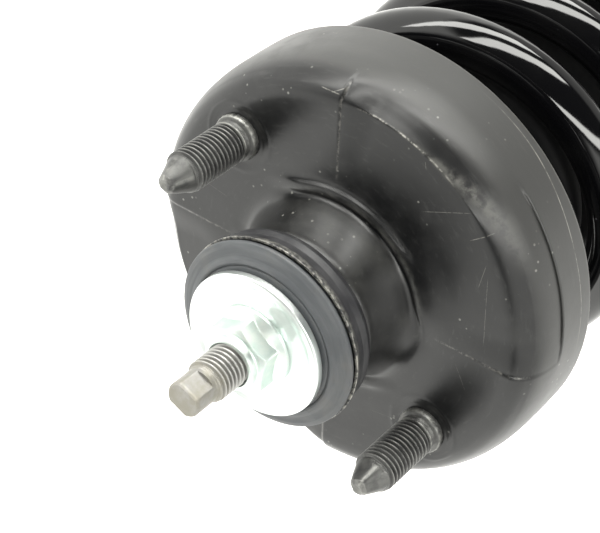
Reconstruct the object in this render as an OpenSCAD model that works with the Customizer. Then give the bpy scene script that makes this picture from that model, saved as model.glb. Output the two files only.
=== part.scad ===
// Coil-over suspension strut with a two-stud upper mount and a lower eye.
// Frame: +Z up along the strut, origin at the centre of the stud circle on
// the stud seating face. The two studs lie on the X axis. Drawn at full droop.

/* [Upper mount] */
// Outer radius of the stamped mount dish at its widest
mount_r = 51.9; // [51.9:0.5:53.9]
// Height from the stud seating face down to the skirt's lower edge
skirt_h = 24.1; // [22:0.1:26]
// Sheet thickness of the mount dish
sheet_t = 2.8; // [2.2:0.1:3.2]
// Outer radius of the raised neck just under the bush cup
neck_r = 19; // [18:0.5:19.5]
// Height of the neck's top face above the stud seating face
neck_h = 13.9; // [13.5:0.1:15]
// Half angle of each flat stud pad
pad_half_angle = 44; // [36:1:50]

/* [Studs] */
// Stud circle diameter
stud_pcd = 77; // [72:0.5:78]
// Major radius of the stud thread
stud_r = 4.95; // [3.95:0.05:5.2]
// Height of the stud tip above the seating face
stud_h = 25.4; // [20:0.1:32]
// Radius of the splined shank pressed into the dish
stud_spline_r = 5.6; // [5.4:0.1:6]
// Radius of the stud head under the dish
stud_head_r = 6.6; // [6.3:0.1:6.6]

/* [Bush stack] */
// Radius of the bush cup at its lower edge
cup_r = 21; // [20.5:0.1:22]
// Radius of the worn lip of the bush cup
cup_lip_r = 22.9; // [22.4:0.1:23.4]
// Height of the bush cup
cup_h = 8.4; // [7:0.1:9.5]
// Radius of the dished top washer
washer_r = 17.3; // [16:0.1:18.5]
// Thickness of the dished top washer
washer_t = 2.4; // [2:0.1:3]
// Across-flats size of the rod nut
nut_af = 15; // [14:1:16]
// Radius of the rod nut's flange
nut_flange_r = 9.8; // [9.6:0.1:11]

/* [Rod] */
// Radius of the chromed piston rod
rod_r = 6; // [5.5:0.25:6.5]
// Height of the rod tip above the seating face
rod_tip_z = 51.8; // [49:0.1:58]
// Width across the two flats on the rod tip
rod_flats = 6.5; // [5:0.5:7.5]

/* [Coil spring] */
// Mean radius of the coil
coil_r = 40.3; // [40:0.1:40.6]
// Wire radius
wire_r = 6; // [5.5:0.25:6]
// Distance between the open coils at full droop
coil_pitch = 24.3; // [23.5:0.1:24.5]
// Distance covered in one turn at the ends
end_pitch = 24.3; // [22:0.1:24.5]
// Total turns
coil_turns = 9.75; // [9:0.25:9.75]
// Azimuth at which the upper end of the wire starts
coil_start_angle = 14; // [0:1:359]

/* [Damper] */
// Outer radius of the reservoir tube
tube_r = 22.5; // [20.5:0.5:22.5]
// Wall thickness of the reservoir tube
tube_t = 1.6; // [1.2:0.1:2]
// Slide travel from full droop to contact with the bump stop
travel = 115; // [90:1:115]
// Bore radius of the inner pressure cylinder
bore_r = 15; // [14:0.5:15]

/* [Lower eye] */
// Distance from the stud seating face down to the eye centre
eye_z = 411; // [411:1:430]
// Outer radius of the eye ring
eye_r = 18; // [17:0.5:18]
// Width of the eye ring
eye_w = 32; // [26:1:36]
// Radius of the hole through the eye's inner sleeve
eye_hole_r = 6.1; // [5.1:0.1:6.6]
// Length of the eye's inner sleeve
eye_sleeve_w = 42; // [40:1:50]

/* [Hidden] */
$fn = 96;

stud_x = stud_pcd / 2;
thread_r = 4.95;
hole_r = 12.6;

// heights of the bush stack, from the neck upwards
cup_z = neck_h;
lip_z = cup_z + cup_h;
bush_top_z = lip_z + 3.5;
washer_top_z = bush_top_z + washer_t;
nut_top_z = washer_top_z + 8.8;

// heights below the dish
shoulder_z = -8.4;
bump_cup_t = 1.5;
lower_washer_z = shoulder_z + bump_cup_t;
lower_washer_t = 3;
sleeve_z = lower_washer_z + lower_washer_t;
bump_low_z = -58.6;
cap_z = bump_low_z - 0.5 - travel;

// coil spring: s counts turns from the upper end
coil_top_z = -21;
function drop(s) =
    s < 1 ? end_pitch * s + (coil_pitch - end_pitch) * s * s / 2
    : s < coil_turns - 1 ? (end_pitch + coil_pitch) / 2 + coil_pitch * (s - 1)
    : drop_open + coil_pitch * (s - coil_turns + 1)
        - (coil_pitch - end_pitch) * pow(s - coil_turns + 1, 2) / 2;
drop_open = (end_pitch + coil_pitch) / 2 + coil_pitch * (coil_turns - 2);
coil_low_z = coil_top_z - drop(coil_turns);
seat_z = coil_low_z - wire_r - 4.3;

// damper
guide_z = cap_z - 8.5;
piston_z = cap_z - 38;
tube_low_z = -eye_z + eye_r + 1;

// One ring of the wire, perpendicular to its run
wire_sides = 12;
rings_per_turn = 24;
function wire_ring(s) =
    let (a = coil_start_angle - 360 * s, z = coil_top_z - drop(s),
        slope = (drop(s + 0.001) - drop(s - 0.001)) / 0.002,
        up = atan(slope / (2 * PI * coil_r)),
        radial = [cos(a), sin(a), 0],
        normal = [sin(a) * sin(up), -cos(a) * sin(up), cos(up)])
    [for (k = [0 : wire_sides - 1]) let (b = 360 * k / wire_sides + 15)
        [coil_r * cos(a), coil_r * sin(a), z]
        + wire_r * (cos(b) * radial + sin(b) * normal)];

// A ramp that follows the end coil, from height z0 to the wire
module ramp(z0, gap, up) {
    steps = 16;
    span = 0.4;
    r1 = coil_r - 5.8;
    r2 = coil_r + 5.8;
    sect = [for (i = [0 : steps]) let (s = span * i / steps,
        a = up ? coil_start_angle - 360 * s
            : coil_start_angle - 360 * (coil_turns - s),
        z = up ? coil_top_z - drop(s) + wire_r + gap
            : coil_low_z + drop(s) - wire_r - gap,
        zs = up ? min(z, z0 - 0.2) : max(z, z0 + 0.2))
        [[r1 * cos(a), r1 * sin(a), z0], [r2 * cos(a), r2 * sin(a), z0],
         [r2 * cos(a), r2 * sin(a), zs], [r1 * cos(a), r1 * sin(a), zs]]];
    pts = [for (q = sect) for (p = q) p];
    faces = concat(
        [[0, 1, 2, 3]],
        [for (i = [0 : steps - 1]) for (k = [0 : 3])
            [4 * i + k, 4 * i + 4 + k, 4 * i + 4 + (k + 1) % 4,
             4 * i + (k + 1) % 4]],
        [[4 * steps + 3, 4 * steps + 2, 4 * steps + 1, 4 * steps]]);
    polyhedron(pts, [for (f = faces) [for (k = [len(f) - 1 : -1 : 0]) f[k]]]);
}

module ring(r1, r2, z1, z2)
    translate([0, 0, z1]) difference() {
        cylinder(r = r2, h = z2 - z1);
        translate([0, 0, -1]) cylinder(r = r1, h = z2 - z1 + 2);
    }

// ---------------------------------------------------------------- mount

// Half section of the stamped dish
module dish_section() {
    t = sheet_t;
    m = mount_r;
    polygon([
        [hole_r, neck_h], [neck_r - 1, neck_h], [neck_r, neck_h - 1.2],
        [neck_r + 0.3, 10], [neck_r + 0.8, 6], [neck_r + 1.6, 3.5],
        [neck_r + 2.9, 1.7], [neck_r + 4.6, 0.5], [neck_r + 6.6, 0],
        [m - 5, 0], [m - 3.9, -0.55], [m - 2.8, -1.7], [m - 1.8, -3.4],
        [m - 0.9, -5.8], [m - 0.3, -8.6], [m, -11.6], [m - 0.1, -19.5],
        [m - 0.2, -skirt_h], [m - 0.2 - t, -skirt_h], [m - 0.1 - t, -19.5],
        [m - t, -11.8], [m - 0.4 - t, -9], [m - 1.2 - t, -6.4],
        [m - 2.2 - t, -4.6], [m - 3.4 - t, -t],
        [neck_r + 7, -t], [neck_r + 4, 0.2 - t],
        [neck_r + 1.4, 2 - t], [neck_r - 1.2, 3.4], [neck_r - 2.2, 7],
        [neck_r - 2.8, neck_h - t], [hole_r, neck_h - t]]);
}

// Half section of the bead round the foot of the neck on a sector
module bead_section()
    polygon([
        [neck_r + 2, -0.6], [neck_r + 2, 1.1], [neck_r + 4.4, 1.2],
        [neck_r + 5.5, 1], [neck_r + 6.4, 0.6], [neck_r + 7.2, 0],
        [neck_r + 7.2, -0.6]]);

// What the press takes off a sector: it falls away gently from the bead to a
// crisp edge, then a steep facet runs down to the skirt
module slope_section()
    polygon([
        [neck_r + 11.5, 1], [neck_r + 11.5, 0], [mount_r - 5.7, -1.4],
        [mount_r - 2, -5], [mount_r - 1.1, -6.4], [mount_r - 0.5, -8.2],
        [mount_r - 0.15, -10], [mount_r, -12.2],
        [mount_r + 2, -12.2], [mount_r + 2, 1]]);

module mount_plate() {
    sweep = 180 - 2 * pad_half_angle;
    color("dimgray") difference() {
        union() {
            rotate_extrude() dish_section();
            for (a = [90, 270]) rotate([0, 0, a - sweep / 2])
                rotate_extrude(angle = sweep) bead_section();
        }
        for (a = [90, 270]) rotate([0, 0, a - sweep / 2])
            rotate_extrude(angle = sweep) slope_section();
        for (x = [-stud_x, stud_x])
            translate([x, 0, -10]) cylinder(r = stud_spline_r, h = 20);
    }
}

module mount_studs() {
    color("slategray") for (x = [-stud_x, stud_x]) translate([x, 0, 0]) {
        translate([0, 0, -sheet_t - 3]) cylinder(r = stud_head_r, h = 3);
        translate([0, 0, -sheet_t]) cylinder(r = stud_spline_r, h = sheet_t);
        cylinder(r = stud_r, h = stud_h - 6);
        translate([0, 0, stud_h - 6])
            cylinder(r1 = stud_r - 0.75, r2 = 1.6, h = 6);
    }
}

module bush_cup() {
    t = 1.6;
    color("#202022") rotate_extrude() polygon([
        [hole_r, cup_z], [cup_r - 1.2, cup_z], [cup_r - 0.2, cup_z + 0.6],
        [cup_r + 0.3, cup_z + 1.8], [cup_lip_r - 0.2, lip_z - 0.4],
        [cup_lip_r, lip_z],
        [cup_lip_r - t, lip_z], [cup_r + 0.3 - t, cup_z + 2.2],
        [cup_r - 0.8 - t, cup_z + t], [hole_r, cup_z + t]]);
}

module upper_bush() {
    t = 1.6;
    color("#2b3036") rotate_extrude() polygon([
        [8.5, cup_z + t], [cup_r - 0.8 - t, cup_z + t],
        [cup_r + 0.3 - t, cup_z + 2.2], [cup_lip_r - t, lip_z],
        [cup_lip_r - 0.6, lip_z + 0.5], [cup_lip_r - 0.1, lip_z + 1.6],
        [washer_r + 1.4, bush_top_z - 0.4], [washer_r + 0.4, bush_top_z],
        [8.5, bush_top_z]]);
}

module lower_bush()
    color("#2b3036") difference() {
        union() {
            ring(8.5, 15.4, sleeve_z, neck_h - sheet_t);
            ring(8.5, hole_r, neck_h - sheet_t - 1, cup_z + 1.6);
        }
    }

module bush_sleeve()
    color("lightsteelblue") ring(thread_r + 0.15, 8.5, sleeve_z, bush_top_z);

module top_washer()
    color("#d8dde0") rotate_extrude() polygon([
        [thread_r + 0.1, bush_top_z], [washer_r - 3.6, bush_top_z],
        [washer_r - 2.4, bush_top_z + 0.3],
        [washer_r, bush_top_z + 1.0], [washer_r, washer_top_z + 0.3],
        [washer_r - 0.5, washer_top_z + 0.7],
        [washer_r - 2.3, washer_top_z + 0.5],
        [washer_r - 3.2, washer_top_z], [thread_r + 0.1, washer_top_z]]);

module rod_nut()
    color("#c9cfca") translate([0, 0, washer_top_z]) difference() {
        union() {
            cylinder(r = nut_flange_r, h = 1);
            translate([0, 0, 1]) cylinder(r1 = nut_flange_r, r2 = 8, h = 1.2);
            rotate([0, 0, 8]) cylinder(r = nut_af / 2 / cos(30), h = 6.8, $fn = 6);
            cylinder(r = 6.4, h = nut_top_z - washer_top_z);
        }
        translate([0, 0, -1]) cylinder(r = thread_r, h = 14);
    }

module lower_washer()
    color("#333333") ring(thread_r + 0.1, 17.2, lower_washer_z, sleeve_z);

module bump_stop_cup()
    color("#2a2a2a") difference() {
        union() {
            ring(thread_r + 0.1, 21, shoulder_z, lower_washer_z);
            ring(21 - bump_cup_t, 21, shoulder_z - 9, shoulder_z + 0.5);
        }
    }

module bump_stop()
    color("#c9b458") rotate_extrude() polygon([
        [rod_r + 0.05, shoulder_z], [19.4, shoulder_z], [19.4, -21.1],
        [18.5, -23.6], [16, -25.6], [16, -27.1], [18, -29.1], [18.6, -32.1],
        [18, -36.1], [15.2, -38.6], [15.2, -40.6], [16.6, -42.6],
        [16.9, -45.6], [16, -49.1], [13, -53.1],
        [11.5, bump_low_z + 1.5], [10.6, bump_low_z],
        [rod_r + 1.2, bump_low_z], [rod_r + 0.05, -52.1]]);

// Bellows, one closed section turned about the axis
boot_t = 1.3;
boot_n = 9;
boot_z1 = -48.1;
boot_z2 = cap_z + 5;
boot_step = (boot_z1 - boot_z2) / boot_n;
boot_out = [for (i = [0 : boot_n - 1]) each [
    [26.2, boot_z1 - i * boot_step],
    [31.2, boot_z1 - (i + 0.22) * boot_step],
    [32, boot_z1 - (i + 0.36) * boot_step],
    [32, boot_z1 - (i + 0.5) * boot_step],
    [31.2, boot_z1 - (i + 0.64) * boot_step],
    [26.2, boot_z1 - (i + 0.86) * boot_step]]];
boot_in = [for (i = [len(boot_out) - 1 : -1 : 0])
    boot_out[i] - [boot_t, 0]];
module dust_boot()
    color("#1d1d1f") rotate_extrude() polygon(concat(
        [[21, shoulder_z - 0.5], [22.6, shoulder_z - 0.5], [22.9, -12.1],
         [22.9, boot_z1 + 3]],
        boot_out,
        [[26.2, boot_z2 - 1], [26.2, cap_z - 12], [24.4, cap_z - 12],
         [24.4, boot_z2 - 1]],
        boot_in,
        [[21, boot_z1 + 3]]));

module upper_insulator()
    color("#33353a") {
        difference() {
            rotate_extrude() polygon([
                [neck_r + 8, -sheet_t], [mount_r - 8, -sheet_t],
                [mount_r - 6.5 - 0.6, -3.7], [mount_r - 4.2 - 0.6, -6.5],
                [mount_r - 4.2 - 0.6, coil_top_z + wire_r + 0.1],
                [neck_r + 8, coil_top_z + wire_r + 0.1]]);
            for (x = [-stud_x, stud_x]) translate([x, 0, -sheet_t - 3.4])
                cylinder(r = stud_head_r + 0.4, h = 12);
        }
        ramp(coil_top_z + wire_r + 1, 0.05, true);
    }

module coil_spring() {
    n = coil_turns * rings_per_turn;
    w = wire_sides;
    pts = [for (i = [0 : n]) each wire_ring(i / rings_per_turn)];
    faces = concat(
        [[for (k = [w - 1 : -1 : 0]) k]],
        [for (i = [0 : n - 1]) for (k = [0 : w - 1])
            [w * i + k, w * i + (k + 1) % w, w * (i + 1) + (k + 1) % w,
             w * (i + 1) + k]],
        [[for (k = [0 : w - 1]) w * n + k]]);
    color("#0c0c0d") polyhedron(pts, faces);
}

// ------------------------------------------------------------------ rod

module piston_rod()
    color("#cfd3d6") difference() {
        union() {
            translate([0, 0, shoulder_z])
                cylinder(r = thread_r, h = nut_top_z + 7.4 - shoulder_z);
            translate([0, 0, nut_top_z])
                cylinder(r = 4.1, h = rod_tip_z - nut_top_z);
            translate([0, 0, piston_z])
                cylinder(r = rod_r, h = shoulder_z - piston_z);
            translate([0, 0, piston_z - 26]) cylinder(r = 4, h = 27);
        }
        rotate([0, 0, 20]) for (y = [-1, 1])
            translate([-10, y * (rod_flats / 2 + 5) - 5, rod_tip_z - 5.6])
                cube([20, 10, 20]);
    }

module rebound_stop()
    color("#3a3a3a") rotate_extrude() polygon([
        [rod_r, piston_z + 2], [10.5, piston_z + 2], [11.5, piston_z + 4],
        [11.5, piston_z + 8], [10.5, piston_z + 10], [rod_r, piston_z + 10]]);

module piston()
    color("#8a8a86") difference() {
        union() {
            ring(4, bore_r - 0.8, piston_z - 16, piston_z);
            ring(4, bore_r - 2, piston_z - 16, piston_z + 0);
        }
        ring(bore_r - 1.6, bore_r + 2, piston_z - 12, piston_z - 4);
        for (a = [0 : 60 : 300]) rotate([0, 0, a])
            translate([9.5, 0, piston_z - 20]) cylinder(r = 1.5, h = 40);
    }

module piston_band()
    color("#b08d57") ring(bore_r - 1.6, bore_r - 0.05, piston_z - 12, piston_z - 4);

module piston_nut()
    color("#9aa0a4") translate([0, 0, piston_z - 24]) difference() {
        cylinder(r = 13 / 2 / cos(30), h = 8, $fn = 6);
        translate([0, 0, -1]) cylinder(r = 4, h = 10);
    }

// --------------------------------------------------------------- damper

module tube_cap()
    color("#1c1c1e") difference() {
        translate([0, 0, cap_z - 14]) cylinder(r = tube_r + 1.3, h = 14);
        translate([0, 0, cap_z - 20]) cylinder(r = tube_r, h = 18.7);
        translate([0, 0, cap_z - 5]) cylinder(r = 9, h = 10);
        for (a = [45 : 90 : 315]) rotate([0, 0, a])
            translate([15, 0, cap_z - 5]) cylinder(r = 2, h = 10);
    }

module damper_tube()
    color("#18181a") difference() {
        translate([0, 0, tube_low_z])
            cylinder(r = tube_r, h = cap_z - 1.5 - tube_low_z);
        translate([0, 0, tube_low_z - 1])
            cylinder(r = tube_r - tube_t, h = cap_z - 3 - tube_low_z + 1);
        translate([0, 0, cap_z - 10]) cylinder(r = 14.5, h = 20);
    }

module rod_seal()
    color("#3b2f2a") ring(rod_r + 0.04, tube_r - tube_t, guide_z, cap_z - 3);

module rod_guide()
    color("#7d7f80") difference() {
        union() {
            ring(7.6, tube_r - tube_t, guide_z - 9, guide_z);
            ring(7.6, bore_r, guide_z - 17, guide_z - 8);
        }
        for (a = [0 : 120 : 240]) rotate([0, 0, a])
            translate([tube_r - tube_t, 0, guide_z - 12])
                cylinder(r = 1.5, h = 20);
    }

module guide_bush()
    color("#6d5b3a") ring(rod_r + 0.03, 7.6, guide_z - 16, guide_z - 1);

module inner_cylinder()
    color("#9da1a4") ring(bore_r, bore_r + 1.2, tube_low_z + 12, guide_z - 9);

module base_valve()
    color("#85888a") difference() {
        union() {
            ring(2.5, bore_r, tube_low_z + 12, tube_low_z + 17);
            ring(2.5, bore_r + 1.2, tube_low_z + 8, tube_low_z + 12);
            ring(bore_r - 2, tube_r - tube_t, tube_low_z + 4.5, tube_low_z + 8);
            ring(bore_r - 2, bore_r + 1.2, tube_low_z + 7, tube_low_z + 9);
            translate([0, 0, tube_low_z + 7]) cylinder(r = 2.5, h = 12);
        }
        for (a = [0 : 60 : 300]) rotate([0, 0, a]) {
            translate([9, 0, tube_low_z + 6]) cylinder(r = 1.4, h = 12);
            translate([18, 0, tube_low_z + 3]) cylinder(r = 1.4, h = 7);
        }
    }

module tube_base()
    color("#18181a") translate([0, 0, tube_low_z]) difference() {
        cylinder(r = tube_r - tube_t, h = 4.5);
        translate([0, 0, 2.5]) cylinder(r = bore_r, h = 3);
    }

module lower_spring_seat()
    color("#161617") rotate_extrude() polygon([
        [tube_r, seat_z], [45.5, seat_z], [47.6, seat_z + 1.2],
        [48.4, seat_z + 7], [51, seat_z + 7], [50.2, seat_z - 0.4],
        [47, seat_z - 2.6], [30, seat_z - 2.6], [27.4, seat_z - 4],
        [25.4, seat_z - 7], [25, seat_z - 20], [tube_r, seat_z - 20]]);

module lower_insulator()
    color("#33353a") {
        ring(coil_r - 6.5, coil_r + 5.8 - 1.2, seat_z, seat_z + 4);
        ramp(seat_z + 3, 0.4, false);
    }

module lower_eye()
    color("#161617") difference() {
        union() {
            translate([0, 0, -eye_z]) rotate([90, 0, 0])
                cylinder(r = eye_r, h = eye_w, center = true);
            translate([0, 0, -eye_z + 6])
                cylinder(r = 12, h = eye_z + tube_low_z - 6);
        }
        translate([0, 0, -eye_z]) rotate([90, 0, 0])
            cylinder(r = eye_r - 3.2, h = eye_w + 2, center = true);
    }

module eye_bush()
    color("#222426") translate([0, 0, -eye_z]) rotate([90, 0, 0]) difference() {
        union() {
            cylinder(r = eye_r - 3.2, h = eye_w, center = true);
            cylinder(r = 13, h = eye_w + 4, center = true);
        }
        cylinder(r = 9.05, h = eye_w + 8, center = true);
    }

module eye_sleeve()
    color("#b9bdb8") translate([0, 0, -eye_z]) rotate([90, 0, 0]) difference() {
        cylinder(r = 9, h = eye_sleeve_w, center = true);
        cylinder(r = eye_hole_r, h = eye_sleeve_w + 2, center = true);
    }

mount_plate();
mount_studs();
bush_cup();
upper_bush();
lower_bush();
bush_sleeve();
top_washer();
rod_nut();
lower_washer();
bump_stop_cup();
bump_stop();
dust_boot();
upper_insulator();
coil_spring();
piston_rod();
rebound_stop();
piston();
piston_band();
piston_nut();
tube_cap();
damper_tube();
rod_seal();
rod_guide();
guide_bush();
inner_cylinder();
base_valve();
tube_base();
lower_spring_seat();
lower_insulator();
lower_eye();
eye_bush();
eye_sleeve();
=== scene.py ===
import math

import bpy
import numpy as np
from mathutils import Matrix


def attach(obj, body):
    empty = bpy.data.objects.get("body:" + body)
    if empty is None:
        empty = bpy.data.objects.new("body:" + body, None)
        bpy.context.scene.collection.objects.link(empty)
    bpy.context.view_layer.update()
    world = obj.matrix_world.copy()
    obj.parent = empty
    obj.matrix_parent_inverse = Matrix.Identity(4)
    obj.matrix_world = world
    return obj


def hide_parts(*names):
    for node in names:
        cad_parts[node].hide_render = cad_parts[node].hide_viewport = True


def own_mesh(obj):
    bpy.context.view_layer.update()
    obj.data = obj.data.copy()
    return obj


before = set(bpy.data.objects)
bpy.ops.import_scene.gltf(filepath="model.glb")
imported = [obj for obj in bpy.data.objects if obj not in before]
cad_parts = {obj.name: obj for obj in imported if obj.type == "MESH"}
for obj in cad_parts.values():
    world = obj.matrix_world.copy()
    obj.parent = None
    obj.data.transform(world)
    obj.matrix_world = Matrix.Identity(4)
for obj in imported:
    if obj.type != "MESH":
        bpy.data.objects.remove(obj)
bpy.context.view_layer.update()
scene = bpy.context.scene
MM = 0.001
TAU = 2 * math.pi

# ---------------------------------------------------------------- camera

cam_data = bpy.data.cameras.new("camera")
cam_data.sensor_fit = "HORIZONTAL"
cam_data.sensor_width = 36.0
cam_data.lens = 114.0
cam_data.clip_start = 0.01
cam_data.clip_end = 60.0
camera = bpy.data.objects.new("camera", cam_data)
camera.location = (0.049515, -0.310198, 0.280671)
camera.rotation_mode = "QUATERNION"
camera.rotation_quaternion = (0.458571, 0.157427, 0.380661, -0.787418)
scene.collection.objects.link(camera)
scene.camera = camera
scene.view_settings.view_transform = "Standard"
scene.view_settings.look = "None"

# ------------------------------------------------------------ mesh helpers


def rows_mesh(rows, start=None, end=None, loop=False):
    """Quads between successive rings of points, with optional poles."""
    rows = np.asarray(rows, float)
    m, n = rows.shape[:2]
    v = rows.reshape(-1, 3)
    i = np.arange(m if loop else m - 1)[:, None]
    j = np.arange(n)[None, :]
    k = (j + 1) % n
    a, b = i * n + j, i * n + k
    c, d = ((i + 1) % m) * n + k, ((i + 1) % m) * n + j
    faces = np.stack([a, b, c, d], -1).reshape(-1, 4).tolist()
    if start is not None:
        p = len(v)
        v = np.vstack([v, [start]])
        faces += [[p, (q + 1) % n, q] for q in range(n)]
    if end is not None:
        p = len(v)
        v = np.vstack([v, [end]])
        o = (m - 1) * n
        faces += [[p, o + q, o + (q + 1) % n] for q in range(n)]
    return v, faces


def volume(v, faces):
    t = []
    for f in faces:
        for q in range(1, len(f) - 1):
            t.append((f[0], f[q], f[q + 1]))
    t = np.array(t)
    a, b, c = v[t[:, 0]], v[t[:, 1]], v[t[:, 2]]
    return float(np.einsum("ij,ij->i", a, np.cross(b, c)).sum() / 6)


def join(*parts):
    vs, fs, base = [], [], 0
    for v, f in parts:
        if volume(v, f) < 0:
            f = [q[::-1] for q in f]
        vs.append(v)
        fs += [[x + base for x in q] for q in f]
        base += len(v)
    return np.vstack(vs), fs


def piece(name, geo, body, mat, nodes=(), sharp=38, attrs=None):
    v, faces = geo
    if volume(v, faces) < 0:
        faces = [q[::-1] for q in faces]
    me = bpy.data.meshes.new(name)
    me.from_pydata((np.asarray(v) * MM).tolist(), [], faces)
    me.update()
    me.polygons.foreach_set("use_smooth", [True] * len(me.polygons))
    if sharp:
        me.set_sharp_from_angle(angle=math.radians(sharp))
    for key, val in (attrs or {}).items():
        at = me.attributes.new(key, "FLOAT", "POINT")
        at.data.foreach_set("value", np.asarray(val, np.float32))
    me.materials.append(mat)
    ob = bpy.data.objects.new(name, me)
    scene.collection.objects.link(ob)
    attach(ob, body)
    if nodes:
        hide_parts(*nodes)
    return ob


def rounded(pts, closed=True, seg=5):
    """Corners (r, z, fillet) turned into a polyline with rounded corners."""
    out = []
    n = len(pts)
    for i, p in enumerate(pts):
        f = p[2] if len(p) > 2 else 0
        c = np.array(p[:2], float)
        if f <= 0 or (not closed and i in (0, n - 1)):
            out.append(c)
            continue
        a = np.array(pts[i - 1][:2], float) - c
        b = np.array(pts[(i + 1) % n][:2], float) - c
        la, lb = np.linalg.norm(a), np.linalg.norm(b)
        a, b = a / la, b / lb
        ang = math.acos(max(-1, min(1, float(a @ b))))
        t = min(f / max(math.tan(ang / 2), 1e-6), 0.47 * la, 0.47 * lb)
        for s in np.linspace(0, 1, seg):
            out.append((1 - s) ** 2 * (c + a * t) + 2 * s * (1 - s) * c + s * s * (c + b * t))
    return np.array(out)


def flow(ctrl, per=8, closed=False):
    """Catmull-Rom curve through control points, per samples to each span."""
    c = np.asarray(ctrl, float)
    n = len(c)
    out = []
    spans = n if closed else n - 1
    for i in range(spans):
        if closed:
            p0, p1, p2, p3 = c[i - 1], c[i], c[(i + 1) % n], c[(i + 2) % n]
        else:
            p0, p1, p2, p3 = c[max(i - 1, 0)], c[i], c[i + 1], c[min(i + 2, n - 1)]
        k = per[i] if hasattr(per, "__len__") else per
        for s in np.arange(k) / k:
            out.append(
                0.5
                * (
                    2 * p1
                    + (p2 - p0) * s
                    + (2 * p0 - 5 * p1 + 4 * p2 - p3) * s * s
                    + (3 * p1 - p0 - 3 * p2 + p3) * s**3
                )
            )
    if not closed:
        out.append(c[-1])
    return np.array(out)


def lathe(prof, n=192, loop=True):
    """A closed (r, z) section turned about Z."""
    prof = np.asarray(prof, float)
    a = np.arange(n) / n * TAU
    rows = np.stack(
        [
            prof[:, 0, None] * np.cos(a),
            prof[:, 0, None] * np.sin(a),
            np.repeat(prof[:, 1, None], n, 1),
        ],
        -1,
    )
    return rows_mesh(rows, loop=loop)


def along_y(v, z0):
    """Turns a piece built about Z so that it lies along Y at height z0."""
    v = np.asarray(v, float)
    return np.stack([v[:, 0], v[:, 2], v[:, 1] * -1 + z0], -1)


def smooth(x, a, b):
    t = np.clip((x - a) / (b - a), 0, 1)
    return t * t * (3 - 2 * t)


def wobble(a, seed, amp, freqs=(3, 5, 8, 13, 21, 34)):
    """Smooth seeded irregularity round a circle."""
    rng = np.random.default_rng(seed)
    out = np.zeros_like(a)
    for f in freqs:
        out = out + rng.uniform(-1, 1) * np.sin(f * a + rng.uniform(0, TAU)) / math.sqrt(f)
    return amp * out


# ------------------------------------------------------- material helpers


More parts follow.
